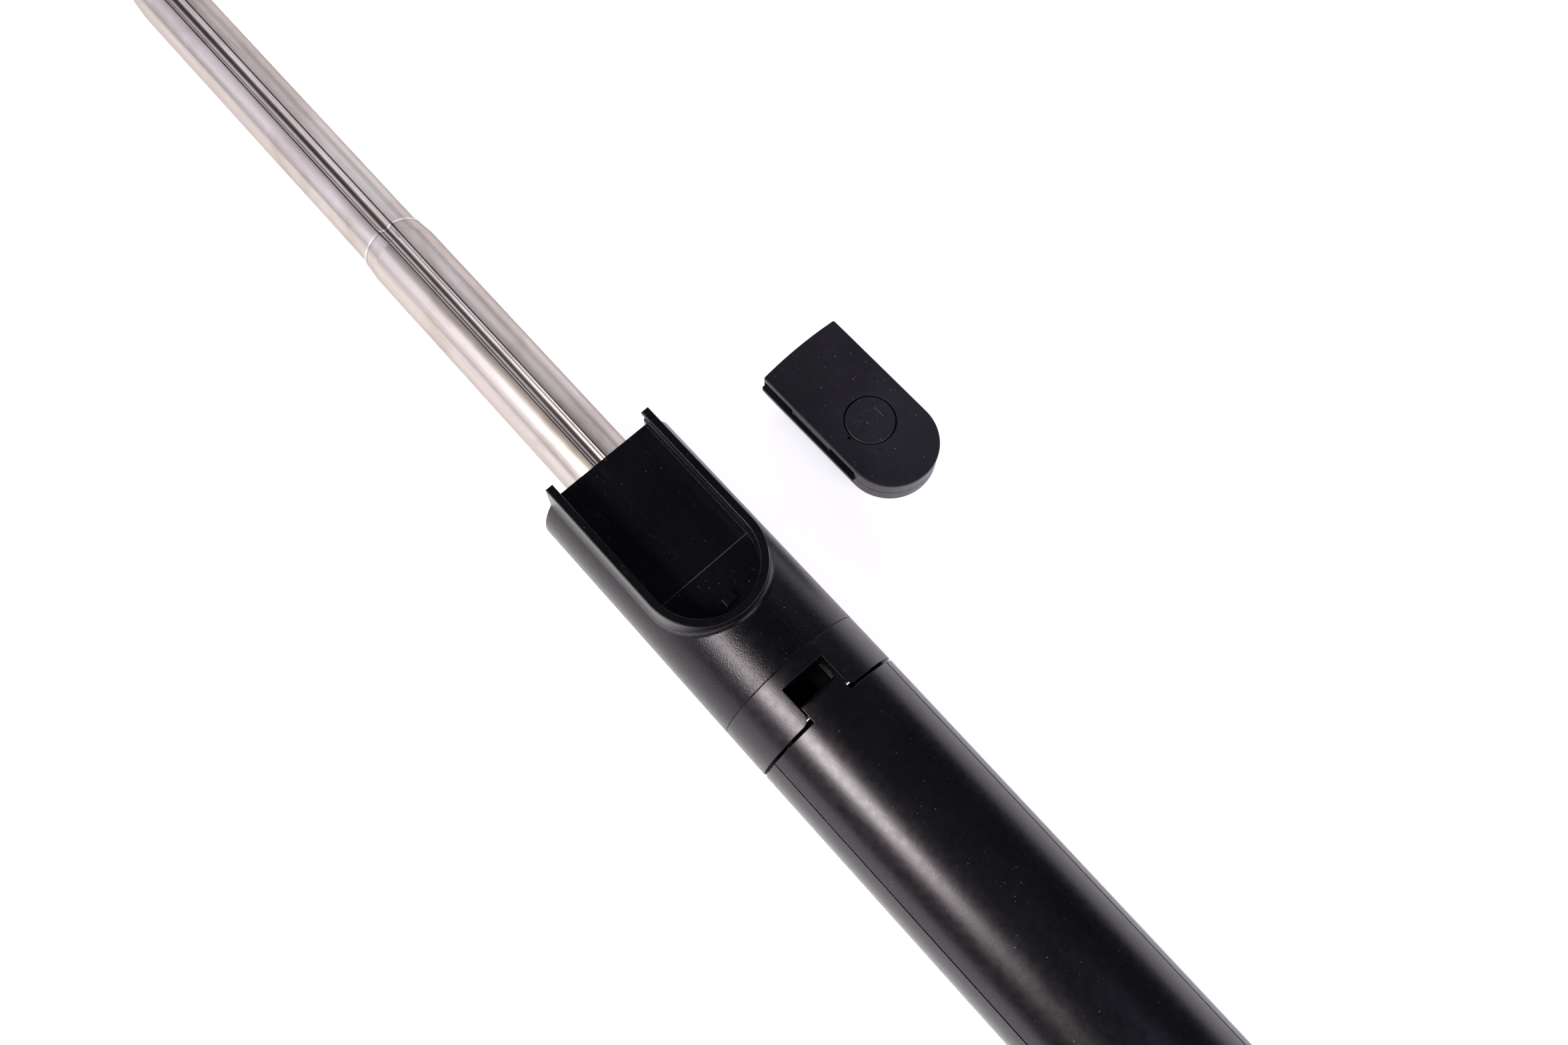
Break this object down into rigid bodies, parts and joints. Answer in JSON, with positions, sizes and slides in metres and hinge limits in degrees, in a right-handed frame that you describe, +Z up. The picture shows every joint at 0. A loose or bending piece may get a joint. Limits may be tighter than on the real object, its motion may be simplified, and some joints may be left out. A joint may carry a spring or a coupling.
{
  "type": "selfie stick tripod",
  "caption": "Telescopic selfie stick of grooved steel tubes with fold-out tripod legs, a spring phone clamp, and a sleeve whose dock takes the slide-in shutter remote shown beside it.",
  "frame": {"origin": "middle of the footprint, on the surface the stick lies on", "axes": "+X along the stick towards the feet, +Y towards the remote, +Z up, the way the dock faces"},
  "size_m": [0.534, 0.0774, 0.0419],
  "materials": {
    "case_black": "fine matt grain",
    "hub_black": "satin",
    "tube_steel": "satin, brushed along its length",
    "tube_black": "blackened steel",
    "pin_steel": "bright",
    "nylon": "plain nylon",
    "clamp_black": "fine matt",
    "rubber_black": "matt rubber",
    "spring_steel": "bare wire",
    "remote_black": "satin",
    "board_green": "lacquered board",
    "cell_steel": "bright plated",
    "switch_black": "plain"
  },
  "bodies": {
    "stick": {"sleeve": "case_black", "leg_hub": "hub_black", "hinge_pins": "pin_steel", "hub_screws": "pin_steel", "fixed_tube": "tube_black", "tube_end_cap": "nylon"},
    "tube_1": {"tube_1": "tube_steel", "guide_1": "nylon"},
    "tube_2": {"tube_2": "tube_steel", "guide_2": "nylon"},
    "tube_3": {"tube_3": "tube_steel", "guide_3": "nylon"},
    "tube_4": {"tube_4": "tube_steel", "guide_4": "nylon"},
    "tube_5": {"tube_5": "tube_steel", "guide_5": "nylon", "rod_cap": "clamp_black", "tilt_pin": "pin_steel"},
    "tilt_nut": {"tilt_nut": "clamp_black"},
    "tilt_arm": {"tilt_arm": "clamp_black"},
    "swivel_knob": {"swivel_knob": "clamp_black"},
    "clamp": {"clamp_back": "clamp_black", "clamp_cover": "clamp_black", "cover_screws": "pin_steel", "rest_pad": "rubber_black", "fixed_jaw": "clamp_black", "fixed_pad": "rubber_black", "jaw_springs": "spring_steel"},
    "jaw": {"moving_jaw": "clamp_black", "moving_pad": "rubber_black", "jaw_rods": "pin_steel"},
    "leg_top": {"leg_top": "hub_black", "foot_top": "rubber_black"},
    "leg_left": {"leg_left": "hub_black", "foot_left": "rubber_black"},
    "leg_right": {"leg_right": "hub_black", "foot_right": "rubber_black"},
    "remote": {"remote_top": "remote_black", "remote_bottom": "remote_black", "remote_board": "board_green", "coin_cell": "cell_steel", "battery_clip": "cell_steel", "tact_switch": "switch_black"},
    "shutter_button": {"shutter_button": "remote_black"}
  },
  "joints": [
    {"name": "leg_top_hinge", "type": "hinge", "parent": "stick", "child": "leg_top", "pos_m": [0.1362, -0.02268, 0.03005], "axis": [0, -1, 0], "range_deg": [0, 65]},
    {"name": "leg_left_hinge", "type": "hinge", "parent": "stick", "child": "leg_left", "pos_m": [0.1362, -0.03484, 0.00898], "axis": [0, 0.5, -0.866], "range_deg": [0, 65]},
    {"name": "leg_right_hinge", "type": "hinge", "parent": "stick", "child": "leg_right", "pos_m": [0.1362, -0.01051, 0.00898], "axis": [0, 0.5, 0.866], "range_deg": [0, 65]},
    {"name": "tube_1_slide", "type": "slide", "parent": "stick", "child": "tube_1", "axis": [-1, 0, 0], "range_m": [-0.068, 0.0601]},
    {"name": "tube_2_slide", "type": "slide", "parent": "tube_1", "child": "tube_2", "axis": [-1, 0, 0], "range_m": [-0.0862, 0.0419]},
    {"name": "tube_3_slide", "type": "slide", "parent": "tube_2", "child": "tube_3", "axis": [-1, 0, 0], "range_m": [-0.0316, 0.0965]},
    {"name": "tube_4_slide", "type": "slide", "parent": "tube_3", "child": "tube_4", "axis": [-1, 0, 0], "range_m": [-0.0216, 0.1065]},
    {"name": "tube_5_slide", "type": "slide", "parent": "tube_4", "child": "tube_5", "axis": [-1, 0, 0], "range_m": [-0.0136, 0.1105]},
    {"name": "head_tilt", "type": "hinge", "parent": "tube_5", "child": "tilt_arm", "pos_m": [-0.1875, -0.02268, 0.016], "axis": [0, 1, 0], "range_deg": [-90, 70]},
    {"name": "tilt_nut_turn", "type": "hinge", "parent": "tube_5", "child": "tilt_nut", "pos_m": [-0.1875, -0.01367, 0.016], "axis": [0, 1, 0], "range_deg": [-180, 180]},
    {"name": "clamp_swivel", "type": "hinge", "parent": "tilt_arm", "child": "clamp", "pos_m": [-0.231, -0.02268, 0.021], "axis": [0, 0, 1], "range_deg": [-90, 270]},
    {"name": "knob_turn", "type": "hinge", "parent": "tilt_arm", "child": "swivel_knob", "pos_m": [-0.231, -0.02268, 0.008], "axis": [0, 0, 1], "range_deg": [-180, 180]},
    {"name": "jaw_slide", "type": "slide", "parent": "clamp", "child": "jaw", "axis": [-1, 0, 0], "range_m": [0, 0.028], "stiffness_N_per_m": 300, "springref_m": -0.02},
    {"name": "shutter_press", "type": "slide", "parent": "remote", "child": "shutter_button", "axis": [0, 0, -1], "range_m": [0, 0.0004], "stiffness_N_per_m": 1500, "springref_m": -0.0003},
    {"name": "remote_carry", "type": "slide", "parent": "stick", "child": "remote", "axis": [-0.8545, -0.4307, 0.2905], "range_m": [0, 0.117]}
  ]
}
